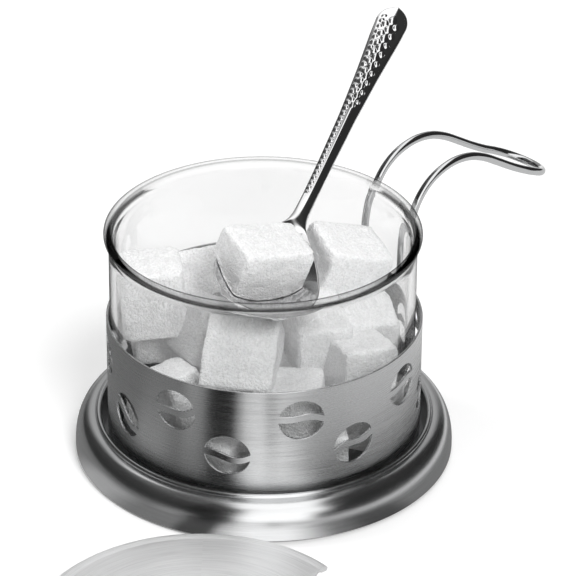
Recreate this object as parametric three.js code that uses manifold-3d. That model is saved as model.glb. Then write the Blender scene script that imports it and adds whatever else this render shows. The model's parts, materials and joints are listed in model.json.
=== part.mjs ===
// Sugar bowl: a glass insert standing in a perforated stainless steel holder with a
// domed foot ring and a bent-wire handle, a sugar spoon leaning on the glass rim and
// a steel lid lying beside the foot. Millimetres, +Z up.
// Origin: centre of the flat underside of the holder, on the table plane.
import * as THREE from 'three';
import { mergeVertices } from 'three/addons/utils/BufferGeometryUtils.js';
import Module from 'manifold-3d';

const wasm = await Module();
wasm.setup();

// ---------------------------------------------------------------- helpers
const TURNED_SEGMENTS = 60;     // facets round a turned piece, unless it sets its own

const rad = THREE.MathUtils.degToRad;

// Unit vectors in plan, away from the axis and round it, at an azimuth in degrees
// from +X towards +Y.
const radialAt = (azimuth) =>
  new THREE.Vector3(Math.cos(rad(azimuth)), Math.sin(rad(azimuth)), 0);
const tangentAt = (azimuth) =>
  new THREE.Vector3(-Math.sin(rad(azimuth)), Math.cos(rad(azimuth)), 0);

// A closed three.js geometry as one manifold solid, whichever way its faces are wound.
function solid(geometry) {
  geometry.deleteAttribute('normal');
  geometry.deleteAttribute('uv');
  const merged = mergeVertices(geometry, 1e-4);
  const positions = merged.attributes.position.array;
  const index = merged.index.array;
  const triangles = [];
  let signedVolume = 0;
  const corners = [new THREE.Vector3(), new THREE.Vector3(), new THREE.Vector3()];
  for (let i = 0; i < index.length; i += 3) {
    const triangle = [index[i], index[i + 1], index[i + 2]];
    if (new Set(triangle).size < 3) continue;    // collapsed where vertices merged
    triangles.push(...triangle);
    corners.forEach((corner, k) => corner.fromArray(positions, triangle[k] * 3));
    signedVolume += corners[0].dot(corners[1].cross(corners[2]));
  }
  if (signedVolume < 0) {
    for (let i = 0; i < triangles.length; i += 3) {
      [triangles[i + 1], triangles[i + 2]] = [triangles[i + 2], triangles[i + 1]];
    }
  }
  return new wasm.Manifold(new wasm.Mesh({
    numProp: 3,
    vertProperties: new Float32Array(positions),
    triVerts: new Uint32Array(triangles),
  }));
}

// A solid turned about Z from a profile of [radius, height] points.
function turned(profile, segments = TURNED_SEGMENTS) {
  const points = profile.map(([radius, z]) => new THREE.Vector2(radius, z));
  const geometry = new THREE.LatheGeometry(points, segments);
  geometry.rotateX(Math.PI / 2);      // the lathe axis becomes +Z
  return solid(geometry);
}

function namedMesh(name, manifold, material) {
  const { vertProperties, triVerts } = manifold.getMesh();
  const geometry = new THREE.BufferGeometry();
  const positions = new Float32Array(vertProperties);
  geometry.setAttribute('position', new THREE.BufferAttribute(positions, 3));
  geometry.setIndex(new THREE.BufferAttribute(new Uint32Array(triVerts), 1));
  geometry.computeVertexNormals();
  const mesh = new THREE.Mesh(geometry, material);
  mesh.name = name;
  return mesh;
}

// ---------------------------------------------------------------- materials
const BRUSHED = 0xa9abad;
const SATIN = 0xb9bbbd;
const POLISHED = 0xd4d6d8;

const steel = ({ color, roughness }) =>
  new THREE.MeshStandardMaterial({ color, roughness, metalness: 1 });

const clearGlass = () => new THREE.MeshStandardMaterial({
  color: 0xf2f6f6,
  roughness: 0.03,
  metalness: 0,
  transparent: true,
  opacity: 0.3,
});

// ---------------------------------------------------------------- base plate and foot ring
const PLATE_R = 48.9;
const PLATE_T = 0.9;

const FOOT_R = 50.0;            // outer radius
const FOOT_TOP = 10.9;          // crown height
const FOOT_INNER_R = 43.1;      // inner face of the lip that turns down to the plate
const FOOT_SHEET = 0.8;
const FOOT_EDGE_Z = 0.65;       // underside of the outer edge
const DOME_CENTRE_R = 45.0;     // centre of the dome's quarter curve
const DOME_CENTRE_Z = 1.9;
const DOME_TOP = FOOT_TOP - 0.6;
const DOME_POWER = 0.9;         // 1 would make the dome a true ellipse
const DOME_STEPS = 8;

const BAND_BOTTOM = 0.95;       // the band and the foot ring's lip both end here

function basePlate() {
  return turned([
    [0, 0], [PLATE_R - 0.5, 0], [PLATE_R, 0.45], [PLATE_R - 0.1, PLATE_T], [0, PLATE_T],
  ]);
}

// Quarter curve of the dome from its outer side to its top, set in from the outer face.
function domeCurve(inset) {
  const width = FOOT_R - DOME_CENTRE_R - inset;
  const height = DOME_TOP - DOME_CENTRE_Z - inset;
  return Array.from({ length: DOME_STEPS + 1 }, (_, i) => {
    const angle = (i / DOME_STEPS) * Math.PI / 2;
    return [
      DOME_CENTRE_R + width * Math.cos(angle) ** DOME_POWER,
      DOME_CENTRE_Z + height * Math.sin(angle) ** DOME_POWER,
    ];
  });
}

function footRing() {
  const lipOuter = FOOT_INNER_R + FOOT_SHEET;
  return turned([
    [FOOT_R - 0.35, FOOT_EDGE_Z], [FOOT_R, 1.0],
    ...domeCurve(0),
    [44.6, FOOT_TOP - 0.65], [44.2, FOOT_TOP - 0.2], [43.75, FOOT_TOP], [43.3, FOOT_TOP - 0.25],
    [FOOT_INNER_R, FOOT_TOP - 0.8], [FOOT_INNER_R, BAND_BOTTOM],
    [lipOuter, BAND_BOTTOM], [lipOuter, FOOT_TOP - 1.25],
    ...domeCurve(FOOT_SHEET).reverse(),
    [FOOT_R - 0.9, FOOT_EDGE_Z], [FOOT_R - 0.35, FOOT_EDGE_Z],
  ]);
}

// ---------------------------------------------------------------- perforated band
const BAND_R = 41.3;            // outer radius
const BAND_SHEET = 0.6;
const BAND_TOP = 39.3;
const BAND_EASE = 0.15;         // chamfer on the top edges
const BAND_SEGMENTS = 84;

// A cut-out is an ellipse split in two by a curved strip.
const BEAN_HALF_LENGTH = 6.0;
const BEAN_HALF_HEIGHT = 5.5;
const BEAN_BRIDGE = 1.9;        // width of the strip left across each cut-out
const BEAN_MIN_GAP = 0.12;      // each half ends where it gets narrower than this
const BEAN_SEARCH_STEP = 0.02;
const BEAN_STEPS = 6;
const BEAN_CUT_DEPTH = 5;

// Azimuth in degrees, height, tilt in degrees, bow and sway of the dividing strip.
const BEANS = [
  [-149.0, 20.6, -25, -0.5, -0.5], [-122.8, 30.3, 12, -0.9, -0.4],
  [-102.6, 20.4, -3, -1.0, -0.5], [-76.1, 30.8, -5, 0.6, 0.4],
  [-55.6, 20.7, 14, 0.2, -0.6], [-29.8, 29.9, 2, 0.5, 0.4],
  [-8.0, 20.5, 16, -0.4, -0.5], [16.0, 30.4, -14, 0.8, 0.4],
  [41.0, 20.6, 0, 0.5, 0.5], [64.0, 30.6, 18, -0.7, -0.4],
  [85.5, 20.4, -12, 0.6, 0.5], [107.0, 30.2, 6, -0.9, -0.4],
  [128.5, 20.7, 20, 0.3, -0.5], [149.5, 30.5, -8, 0.7, 0.4],
  [169.5, 20.5, 4, -0.8, -0.4], [-170.0, 31.0, -16, 0.5, 0.4],
];

// Outline of the half above (side 1) or below (side -1) the strip: along the strip,
// then back along the ellipse.
function beanHalf(side, bow, sway) {
  const ellipse = (x) =>
    BEAN_HALF_HEIGHT * Math.sqrt(Math.max(0, 1 - (x / BEAN_HALF_LENGTH) ** 2));
  const stripEdge = (x) => bow * (1 - (x / BEAN_HALF_LENGTH) ** 2)
    + sway * Math.sin(Math.PI * x / BEAN_HALF_LENGTH) + side * BEAN_BRIDGE / 2;
  const gap = (x) => ellipse(x) - side * stripEdge(x);
  let start = -BEAN_HALF_LENGTH;
  let end = BEAN_HALF_LENGTH;
  while (gap(start) < BEAN_MIN_GAP) start += BEAN_SEARCH_STEP;
  while (gap(end) < BEAN_MIN_GAP) end -= BEAN_SEARCH_STEP;
  // stations gather towards both ends
  const stations = Array.from({ length: BEAN_STEPS + 1 }, (_, i) =>
    start + (end - start) * (0.5 - 0.5 * Math.cos(Math.PI * i / BEAN_STEPS)));
  return [
    ...stations.map((x) => new THREE.Vector2(x, stripEdge(x))),
    ...stations.reverse().map((x) => new THREE.Vector2(x, side * ellipse(x))),
  ];
}

function beanCutter([azimuth, height, tilt, bow, sway], side) {
  const geometry = new THREE.ExtrudeGeometry(
    new THREE.Shape(beanHalf(side, bow, sway)),
    { depth: BEAN_CUT_DEPTH, bevelEnabled: false, steps: 1 },
  );
  geometry.rotateZ(rad(tilt));
  geometry.translate(0, 0, -BEAN_CUT_DEPTH / 2);
  // shape x follows rising azimuth, shape y is up, the extrusion is radial
  const radial = radialAt(azimuth);
  const up = new THREE.Vector3(0, 0, 1);
  const placement = new THREE.Matrix4().makeBasis(tangentAt(azimuth), up, radial);
  const midSheet = BAND_R - BAND_SHEET / 2;
  placement.setPosition(radial.multiplyScalar(midSheet).setZ(height));
  return solid(geometry.applyMatrix4(placement));
}

function band() {
  const inner = BAND_R - BAND_SHEET;
  const shell = turned([
    [inner, BAND_BOTTOM], [BAND_R, BAND_BOTTOM],
    [BAND_R, BAND_TOP - BAND_EASE], [BAND_R - BAND_EASE, BAND_TOP],
    [inner + BAND_EASE, BAND_TOP], [inner, BAND_TOP - BAND_EASE],
    [inner, BAND_BOTTOM],
  ], BAND_SEGMENTS);
  const cutters = BEANS.flatMap((bean) => [beanCutter(bean, 1), beanCutter(bean, -1)]);
  return shell.subtract(cutters.reduce((all, cutter) => all.add(cutter)));
}

// ---------------------------------------------------------------- wire handle
const WIRE_R = 1.1;
const WIRE_SIDES = 8;
const WIRE_STEPS = 84;
const WIRE_AZIMUTH = 39.3;      // handle plane
const WIRE_HALF_GAP = 8.0;      // half distance between the two legs
const WIRE_LEG_BOTTOM = 13.2;
const WIRE_BEND_REACH = 7.4;    // the end bend runs this far out past the profile
const WIRE_BEND_DROP = 3.4;     // and falls this far below it

// Centre line of one leg: distance out from the axis along the handle plane, height.
const WIRE_PROFILE = [
  [41.65, WIRE_LEG_BOTTOM], [41.65, 24], [41.65, 36], [41.7, 44], [41.95, 50], [43.2, 55.8],
  [45.0, 60.2], [47.3, 63.4], [50.4, 66.0], [54.4, 67.8], [58.8, 68.6], [63.7, 68.1],
  [68.5, 66.3], [73.4, 63.5], [78.6, 60.4], [83.5, 57.8], [87.0, 56.2],
];

// Up one leg, round the end bend and back down the other.
function handleWire() {
  const outward = radialAt(WIRE_AZIMUTH);
  const sideways = tangentAt(WIRE_AZIMUTH);
  const place = (reach, lateral, z) => new THREE.Vector3()
    .addScaledVector(outward, reach)
    .addScaledVector(sideways, lateral)
    .setZ(z);
  const leg = (lateral) => WIRE_PROFILE.map(([reach, z]) => place(reach, lateral, z));
  const [endReach, endZ] = WIRE_PROFILE.at(-1);
  const bend = [30, 60, 90, 120, 150].map((degrees) => {
    const sine = Math.sin(rad(degrees));
    const lateral = WIRE_HALF_GAP * Math.cos(rad(degrees));
    return place(endReach + WIRE_BEND_REACH * sine, lateral, endZ - WIRE_BEND_DROP * sine);
  });
  const points = [...leg(WIRE_HALF_GAP), ...bend, ...leg(-WIRE_HALF_GAP).reverse()];
  const section = new THREE.Shape(Array.from({ length: WIRE_SIDES }, (_, i) => {
    const angle = (i / WIRE_SIDES) * 2 * Math.PI;
    return new THREE.Vector2(WIRE_R * Math.cos(angle), WIRE_R * Math.sin(angle));
  }));
  section.closePath();
  return solid(new THREE.ExtrudeGeometry(section, {
    steps: WIRE_STEPS,
    extrudePath: new THREE.CatmullRomCurve3(points, false, 'centripetal'),
    bevelEnabled: false,
  }));
}

// ---------------------------------------------------------------- glass insert
const GLASS_R = 39.9;           // outer radius
const GLASS_WALL = 1.8;
const GLASS_BOTTOM = 1.0;       // underside of the glass above the table plane
const GLASS_TOP = 64.4;         // top of the fire-polished rim
const GLASS_BEAD_R = 1.1;       // radius of the rim bead's section
const GLASS_BEAD_CENTRE_R = 40.05;
const GLASS_BEAD_STEPS = 6;
const GLASS_SHIFT_X = -0.45;    // the insert stands off centre in the band, towards -X

function glass() {
  const inner = GLASS_R - GLASS_WALL;
  // from the outer side, over the top, to the inner side
  const bead = Array.from({ length: GLASS_BEAD_STEPS + 1 }, (_, i) => {
    const angle = rad(-45 + (225 * i) / GLASS_BEAD_STEPS);
    return [
      GLASS_BEAD_CENTRE_R + GLASS_BEAD_R * Math.cos(angle),
      GLASS_TOP - GLASS_BEAD_R + GLASS_BEAD_R * Math.sin(angle),
    ];
  });
  return turned([
    [0, GLASS_BOTTOM + 0.9], [29, GLASS_BOTTOM + 0.7],
    [32.5, GLASS_BOTTOM], [35.5, GLASS_BOTTOM],
    [38.0, GLASS_BOTTOM + 0.9], [39.4, GLASS_BOTTOM + 2.5], [GLASS_R, GLASS_BOTTOM + 4.6],
    [GLASS_R, 60.8], [GLASS_R + 0.1, 61.8],
    ...bead,
    [38.6, 62.2], [38.2, 60.8], [inner, 58.5],
    [inner, 8.5], [37.3, 6.2], [35.4, 4.8], [31.5, 4.2], [0, 4.1],
  ]);
}

// ---------------------------------------------------------------- spoon
// In the spoon's own frame x is 0 at the neck, negative in the bowl, positive in the handle.
const SPOON_NECK = [7.96, 12.8, 58.56];   // where the bowl meets the handle
const SPOON_AZIMUTH = 75.0;     // plan direction of the handle
const SPOON_PITCH = 2.3;        // degrees
const SPOON_ROLL = 18.2;        // degrees
const BOWL_LENGTH = 43.75;
const BOWL_HALF_WIDTH = 13.85;
const BOWL_DEPTH = 6.65;
const HANDLE_LENGTH = 73.5;
const HANDLE_SLOPE = 0.479;     // slope the handle's edge line tends to
const NECK_SLOPE_LOSS = 0.441;  // how much flatter it starts at the neck
const NECK_FADE = 12;           // length over which that loss fades
const SPOON_STEPS_LONG = 48;
const SPOON_STEPS_ACROSS = 6;
const TABLE_EASE = 0.35;        // share of smoothstep in the blend between stations

// Station tables: x, value.
const SPOON_HALF_WIDTH = [
  [-BOWL_LENGTH, 0.6], [-43.3, 3.6], [-41.85, 6.9], [-39, 10.1], [-35.2, 12.5],
  [-30.4, BOWL_HALF_WIDTH - 0.1], [-26.6, BOWL_HALF_WIDTH], [-22.8, 13.2], [-17.1, 11.2],
  [-11.4, 8.8], [-7.6, 6.9], [-4.75, 5.25], [-1.9, 3.8], [1, 2.6], [5, 2.05], [12, 1.9],
  [22, 1.95], [38, 2.3], [52, 3.1], [64, 4.1], [69.5, 4.35], [72.5, 3.6], [HANDLE_LENGTH, 1.2],
];
const SPOON_DISH = [            // depth of the middle below the edges
  [-BOWL_LENGTH, 0.1], [-41.85, 1.65], [-38, 3.75], [-31.4, 5.95], [-23.8, BOWL_DEPTH],
  [-14.3, 5.4], [-7.6, 3.3], [-2.9, 1.4], [1, 0.1], [HANDLE_LENGTH, 0],
];
const SPOON_CROWN = [           // rise of the handle's top face above its edges
  [-3, 0], [3, 0.5], [20, 0.8], [60, 0.9], [HANDLE_LENGTH, 0.3],
];
const SPOON_THICKNESS = [
  [-BOWL_LENGTH, 0.9], [-6, 1.1], [0, 1.9], [6, 1.9], [18, 1.45], [40, 1.45], [60, 1.5],
  [HANDLE_LENGTH, 1.1],
];

function valueAt(table, x) {
  if (x <= table[0][0]) return table[0][1];
  const next = table.findIndex(([station]) => x <= station);
  if (next < 0) return table.at(-1)[1];
  const [x0, value0] = table[next - 1];
  const [x1, value1] = table[next];
  const t = (x - x0) / (x1 - x0);
  const blend = t * t * (3 - 2 * t) * TABLE_EASE + t * (1 - TABLE_EASE);
  return value0 + (value1 - value0) * blend;
}

// Level of the spoon's edge line: flat round the bowl, rising along the handle.
function spoonEdgeLevel(x) {
  if (x <= 0) return 0;
  return HANDLE_SLOPE * x - NECK_SLOPE_LOSS * NECK_FADE * (1 - Math.exp(-x / NECK_FADE));
}

// x of a station, from 0 at the bowl's tip to 1 at the handle's end; stations gather
// at both ends and round the middle.
function spoonX(fraction) {
  const eased = fraction - 0.035 * Math.sin(4 * Math.PI * fraction)
    - 0.02 * Math.sin(2 * Math.PI * fraction);
  return -BOWL_LENGTH + (BOWL_LENGTH + HANDLE_LENGTH) * eased;
}

function spoonPlacement() {
  const pitch = rad(SPOON_PITCH);
  const roll = rad(SPOON_ROLL);
  const along = radialAt(SPOON_AZIMUTH).multiplyScalar(Math.cos(pitch)).setZ(Math.sin(pitch));
  const level = tangentAt(SPOON_AZIMUTH);
  const upright = new THREE.Vector3().crossVectors(along, level);
  const across = level.multiplyScalar(Math.cos(roll)).addScaledVector(upright, Math.sin(roll));
  const normal = new THREE.Vector3().crossVectors(along, across);
  return new THREE.Matrix4().makeBasis(along, across, normal).setPosition(...SPOON_NECK);
}

// A subdivided box of half size 1, bent into the spoon.
function spoon() {
  const geometry = new THREE.BoxGeometry(2, 2, 2, SPOON_STEPS_LONG, SPOON_STEPS_ACROSS, 1);
  const position = geometry.attributes.position;
  for (let i = 0; i < position.count; i++) {
    const x = spoonX((position.getX(i) + 1) / 2);
    const across = position.getY(i);             // -1 to 1 from edge to edge
    const halfWidth = valueAt(SPOON_HALF_WIDTH, x);
    const dish = valueAt(SPOON_DISH, x);
    const arch = 1 - across * across;
    let z = spoonEdgeLevel(x) - dish * arch;
    if (position.getZ(i) > 0) {
      z += valueAt(SPOON_CROWN, x) * arch;       // only the top face is crowned
    } else {
      // thicker vertically where the dish is steep
      const slope = 2 * dish * Math.abs(across) / Math.max(halfWidth, 1);
      z -= valueAt(SPOON_THICKNESS, x) * Math.sqrt(1 + slope * slope);
    }
    position.setXYZ(i, x, across * halfWidth, z);
  }
  return solid(geometry.applyMatrix4(spoonPlacement()));
}

// ---------------------------------------------------------------- lid
const LID_X = -14.6;
const LID_Y = -99.0;
const LID_R = 41.0;
const LID_TOP = 8.6;            // top of the lid sheet above the table plane
const LID_SHEET = 0.8;
const LID_UNDER = LID_TOP - LID_SHEET;
const LID_HOLE_R = 2.15;
const RING_R = 37.3;            // locating ring that drops inside the glass
const RING_SHEET = 0.7;
const RING_TOP = LID_UNDER - 0.05;
const NOTCH_AZIMUTH = 33.0;     // spoon notch direction
const NOTCH_HALF = 5.5;         // half width of the notch
const NOTCH_INNER_R = 34.6;     // how far in the notch reaches
const RING_NOTCH_INNER_R = NOTCH_INNER_R - 2.6;
const FITTING_GAP = 0.03;       // between the sheet and the knob or the screw head
const KNOB_BOTTOM = LID_TOP + FITTING_GAP;
const KNOB_R = 6.8;
const KNOB_TOP = KNOB_BOTTOM + 11.5;
const KNOB_SEGMENTS = 32;
const SCREW_R = 1.9;
const SCREW_HEAD_TOP = LID_UNDER - FITTING_GAP;
const SCREW_SEGMENTS = 20;

// A round-ended slot running out past the rim.
function notchCutter(innerR, bottom, top) {
  const endCentre = innerR + NOTCH_HALF;
  const outer = LID_R + 4;
  const shape = new THREE.Shape();
  shape.moveTo(endCentre, -NOTCH_HALF);
  shape.lineTo(outer, -NOTCH_HALF);
  shape.lineTo(outer, NOTCH_HALF);
  shape.lineTo(endCentre, NOTCH_HALF);
  shape.absarc(endCentre, 0, NOTCH_HALF, Math.PI / 2, 1.5 * Math.PI, false);
  const geometry = new THREE.ExtrudeGeometry(shape, {
    depth: top - bottom,
    bevelEnabled: false,
    curveSegments: 10,
  });
  geometry.translate(0, 0, bottom);
  geometry.rotateZ(rad(NOTCH_AZIMUTH));
  return solid(geometry);
}

// A flat sheet whose rim is hemmed under.
function lidPlate() {
  const body = turned([
    [LID_HOLE_R, LID_UNDER], [LID_R - 2.3, LID_UNDER],
    [LID_R - 2.1, LID_UNDER - 0.6], [LID_R - 0.5, LID_UNDER - 0.65],
    [LID_R - 0.08, LID_UNDER - 0.3], [LID_R, LID_TOP - 0.6],
    [LID_R - 0.2, LID_TOP - 0.15], [LID_R - 0.6, LID_TOP],
    [LID_HOLE_R, LID_TOP], [LID_HOLE_R, LID_UNDER],
  ]);
  return body.subtract(notchCutter(NOTCH_INNER_R, LID_TOP - 4, LID_TOP + 2));
}

// An upright ring with a flange turned inwards under the sheet.
function lidRing() {
  const inner = RING_R - RING_SHEET;
  const body = turned([
    [inner, 0.3], [inner + 0.2, 0], [RING_R - 0.2, 0], [RING_R, 0.3],
    [RING_R, RING_TOP - 0.1], [RING_R, RING_TOP],
    [inner - 2.2, RING_TOP], [inner - 2.2, RING_TOP - 0.6],
    [inner - 0.2, RING_TOP - 0.6], [inner, RING_TOP - 0.9], [inner, 0.3],
  ]);
  return body.subtract(notchCutter(RING_NOTCH_INNER_R, -2, RING_TOP + 2));
}

function lidKnob() {
  const bottom = KNOB_BOTTOM;
  const outer = turned([
    [0, bottom], [4.2, bottom], [4.3, bottom + 0.6], [3.5, bottom + 1.5],
    [3.1, bottom + 3.0], [3.6, bottom + 4.6], [KNOB_R - 1.6, bottom + 6.0],
    [KNOB_R - 0.3, bottom + 7.2], [KNOB_R, bottom + 8.4], [KNOB_R - 0.5, bottom + 9.7],
    [KNOB_R - 2.2, KNOB_TOP - 0.6], [2.6, KNOB_TOP], [0, KNOB_TOP],
  ], KNOB_SEGMENTS);
  const holeR = SCREW_R + 0.05;
  const holeTop = bottom + 5.6;
  const hole = turned([
    [0, bottom - 1], [holeR, bottom - 1], [holeR, holeTop], [0, holeTop],
  ], SCREW_SEGMENTS);
  return outer.subtract(hole);
}

// A slotted head under the sheet, with its shank up inside the knob.
function lidScrew() {
  const headBottom = SCREW_HEAD_TOP - 1.9;
  const outer = turned([
    [0, headBottom], [2.6, SCREW_HEAD_TOP - 1.7], [3.5, SCREW_HEAD_TOP - 0.9],
    [3.6, SCREW_HEAD_TOP], [SCREW_R, SCREW_HEAD_TOP],
    [SCREW_R, KNOB_BOTTOM + 5.0], [0, KNOB_BOTTOM + 5.4],
  ], SCREW_SEGMENTS);
  const slot = new THREE.BoxGeometry(1.0, 9, 1.6);
  slot.translate(0, 0, headBottom);
  return outer.subtract(solid(slot));
}

// ---------------------------------------------------------------- assembly
const holder = new THREE.Group().add(
  namedMesh('base_plate', basePlate(), steel({ color: SATIN, roughness: 0.45 })),
  namedMesh('foot_ring', footRing(), steel({ color: SATIN, roughness: 0.32 })),
  namedMesh('perforated_band', band(), steel({ color: BRUSHED, roughness: 0.36 })),
  namedMesh('handle_wire', handleWire(), steel({ color: POLISHED, roughness: 0.14 })),
);

const insert = new THREE.Group().add(namedMesh('glass_insert', glass(), clearGlass()));
insert.position.set(GLASS_SHIFT_X, 0, 0);

const cutlery = new THREE.Group().add(
  namedMesh('spoon', spoon(), steel({ color: POLISHED, roughness: 0.08 })),
);

const lid = new THREE.Group().add(
  namedMesh('lid_plate', lidPlate(), steel({ color: BRUSHED, roughness: 0.34 })),
  namedMesh('lid_locating_ring', lidRing(), steel({ color: SATIN, roughness: 0.4 })),
  namedMesh('lid_knob', lidKnob(), steel({ color: POLISHED, roughness: 0.12 })),
  namedMesh('lid_knob_screw', lidScrew(), steel({ color: SATIN, roughness: 0.3 })),
);
lid.position.set(LID_X, LID_Y, 0);

const sugarBowl = new THREE.Group();
sugarBowl.name = 'sugar_bowl';
sugarBowl.add(holder, insert, cutlery, lid);

export default sugarBowl;
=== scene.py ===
"""Sugar bowl: a perforated steel holder with a wire handle and a glass insert, filled with sugar
lumps. A spoon rests on the lumps with one of them in its bowl, and the lid lies beside the holder.

The holder stands on z = 0 round the vertical axis. +X is right, the camera looks from -Y (front)
towards +Y (back). Sizes are in millimetres; the studio's lights and camera are in metres.
"""
import json
import math
import bpy
import bmesh
import numpy as np
from mathutils import Vector, Matrix, noise
from mathutils.geometry import delaunay_2d_cdt

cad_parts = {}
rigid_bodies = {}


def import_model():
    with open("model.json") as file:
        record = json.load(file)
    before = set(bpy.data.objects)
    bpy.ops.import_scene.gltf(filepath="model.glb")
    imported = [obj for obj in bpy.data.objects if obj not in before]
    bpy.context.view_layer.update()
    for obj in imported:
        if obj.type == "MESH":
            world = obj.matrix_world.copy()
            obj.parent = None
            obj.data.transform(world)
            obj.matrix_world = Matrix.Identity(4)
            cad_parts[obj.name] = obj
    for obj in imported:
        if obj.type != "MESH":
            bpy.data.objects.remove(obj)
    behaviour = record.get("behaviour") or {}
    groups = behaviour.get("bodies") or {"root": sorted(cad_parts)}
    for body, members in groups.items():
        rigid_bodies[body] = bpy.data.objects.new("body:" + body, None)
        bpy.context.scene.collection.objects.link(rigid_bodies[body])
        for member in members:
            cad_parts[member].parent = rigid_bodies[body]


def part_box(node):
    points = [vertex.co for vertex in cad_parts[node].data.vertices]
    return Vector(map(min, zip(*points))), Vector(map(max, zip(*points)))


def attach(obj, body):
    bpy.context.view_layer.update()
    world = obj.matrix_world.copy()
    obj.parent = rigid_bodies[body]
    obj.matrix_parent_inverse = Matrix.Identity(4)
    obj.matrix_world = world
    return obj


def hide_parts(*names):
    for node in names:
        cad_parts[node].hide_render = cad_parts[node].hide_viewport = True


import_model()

MM = 0.001                      # metres in a millimetre
rad = math.radians

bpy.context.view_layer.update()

# Driving sizes, taken from the CAD pieces
BAND_LOW, BAND_HIGH = [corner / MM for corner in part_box("perforated_band")]
BAND_RADIUS = (BAND_HIGH.x - BAND_LOW.x) / 2
BAND_BOTTOM, BAND_TOP = BAND_LOW.z, BAND_HIGH.z

GLASS_LOW, GLASS_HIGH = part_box("glass_insert")
GLASS_CENTRE = ((GLASS_LOW + GLASS_HIGH) / 2 / MM)[:2]
GLASS_TOP = GLASS_HIGH.z / MM
GLASS_RADIUS = (GLASS_HIGH.x - GLASS_LOW.x) / 2 / MM

RING_LOW, RING_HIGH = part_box("lid_locating_ring")
LID_CENTRE = ((RING_LOW + RING_HIGH) / 2 / MM)[:2]
LID_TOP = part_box("lid_plate")[1].z / MM
FOOT_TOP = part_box("foot_ring")[1].z / MM


# ------------------------------------------------------------------ mesh helpers
def make(name, geometry, material=None, smooth=True, sharp=None, fix=True):
    """An object from (vertices, faces) in millimetres. sharp is the angle above which an edge
    stays sharp; fix turns all faces outward."""
    verts, faces = geometry
    mesh = bpy.data.meshes.new(name)
    mesh.from_pydata([(x * MM, y * MM, z * MM) for x, y, z in verts], [], faces)
    mesh.validate()
    if fix:
        clean(mesh)
    if smooth:
        shade_smooth(mesh, sharp)
    mesh.update()
    obj = bpy.data.objects.new(name, mesh)
    bpy.context.scene.collection.objects.link(obj)
    if material is not None:
        mesh.materials.append(material)
    return obj


def clean(mesh, merge=None):
    """Turns the faces outward, after merging vertices closer than `merge` metres."""
    work = bmesh.new()
    work.from_mesh(mesh)
    if merge:
        bmesh.ops.remove_doubles(work, verts=work.verts, dist=merge)
    bmesh.ops.recalc_face_normals(work, faces=work.faces)
    work.to_mesh(mesh)
    work.free()


def shade_smooth(mesh, sharp=None):
    mesh.polygons.foreach_set("use_smooth", [True] * len(mesh.polygons))
    if sharp is not None:
        mesh.set_sharp_from_angle(angle=rad(sharp))


def register(obj, body, replaces=None):
    """Says which body the object moves with, and hides the CAD piece it replaces."""
    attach(obj, body)
    if replaces:
        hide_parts(replaces)


def bridge(first, second):
    """Quads between two closed rings of vertex numbers."""
    size = len(first)
    return [(first[k], first[(k + 1) % size], second[(k + 1) % size], second[k])
            for k in range(size)]


def revolve(profile, segments, centre=(0.0, 0.0), closed=False):
    """A profile [(radius, z)] turned about the vertical axis through centre."""
    verts, rings = [], []
    for radius, z in profile:
        start = len(verts)
        if radius < 1e-6:
            verts.append((centre[0], centre[1], z))
        else:
            for k in range(segments):
                turn = 2 * math.pi * k / segments
                verts.append((centre[0] + radius * math.cos(turn),
                              centre[1] + radius * math.sin(turn), z))
        rings.append(range(start, len(verts)))
    faces = []
    pairs = list(zip(rings[:-1], rings[1:]))
    if closed:
        pairs.append((rings[-1], rings[0]))
    for lower, upper in pairs:
        if len(lower) == 1:
            faces += [(lower[0], upper[(k + 1) % segments], upper[k]) for k in range(segments)]
        elif len(upper) == 1:
            faces += [(lower[k], lower[(k + 1) % segments], upper[0]) for k in range(segments)]
        else:
            faces += bridge(lower, upper)
    return verts, faces


def prism(outline, bottom, top):
    """An outline [(x, y)] extruded between two heights."""
    count = len(outline)
    verts = [(x, y, z) for z in (bottom, top) for x, y in outline]
    faces = [tuple(range(count))[::-1], tuple(range(count, 2 * count))]
    return verts, faces + bridge(range(count), range(count, 2 * count))


def arc(centre, radius, start, end, steps):
    """Points on a circle in the profile plane, from start to end degrees."""
    turns = [rad(start + (end - start) * i / steps) for i in range(steps + 1)]
    return [(centre[0] + radius * math.cos(turn), centre[1] + radius * math.sin(turn))
            for turn in turns]


def lift(height, rows):
    """Profile rows (radius, z over height) moved up to height."""
    return [(radius, height + z) for radius, z in rows]


def catmull(points, steps):
    """Centripetal Catmull-Rom through the points, sampled evenly along its length."""
    knots = [np.array(point, float) for point in points]
    knots = [2 * knots[0] - knots[1]] + knots + [2 * knots[-1] - knots[-2]]
    dense = []
    for i in range(1, len(knots) - 2):
        p0, p1, p2, p3 = knots[i - 1:i + 3]
        t0 = 0.0
        t1 = t0 + max(np.linalg.norm(p1 - p0), 1e-6) ** 0.5
        t2 = t1 + max(np.linalg.norm(p2 - p1), 1e-6) ** 0.5
        t3 = t2 + max(np.linalg.norm(p3 - p2), 1e-6) ** 0.5
        for k in range(24):
            t = t1 + (t2 - t1) * k / 24
            a1 = (t1 - t) / (t1 - t0) * p0 + (t - t0) / (t1 - t0) * p1
            a2 = (t2 - t) / (t2 - t1) * p1 + (t - t1) / (t2 - t1) * p2
            a3 = (t3 - t) / (t3 - t2) * p2 + (t - t2) / (t3 - t2) * p3
            b1 = (t2 - t) / (t2 - t0) * a1 + (t - t0) / (t2 - t0) * a2
            b2 = (t3 - t) / (t3 - t1) * a2 + (t - t1) / (t3 - t1) * a3
            dense.append((t2 - t) / (t2 - t1) * b1 + (t - t1) / (t2 - t1) * b2)
    dense.append(knots[-2])
    dense = np.array(dense)
    length = np.r_[0, np.cumsum(np.linalg.norm(np.diff(dense, axis=0), axis=1))]
    at = np.linspace(0, length[-1], steps + 1)
    return np.stack([np.interp(at, length, dense[:, k]) for k in range(3)], 1)


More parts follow.
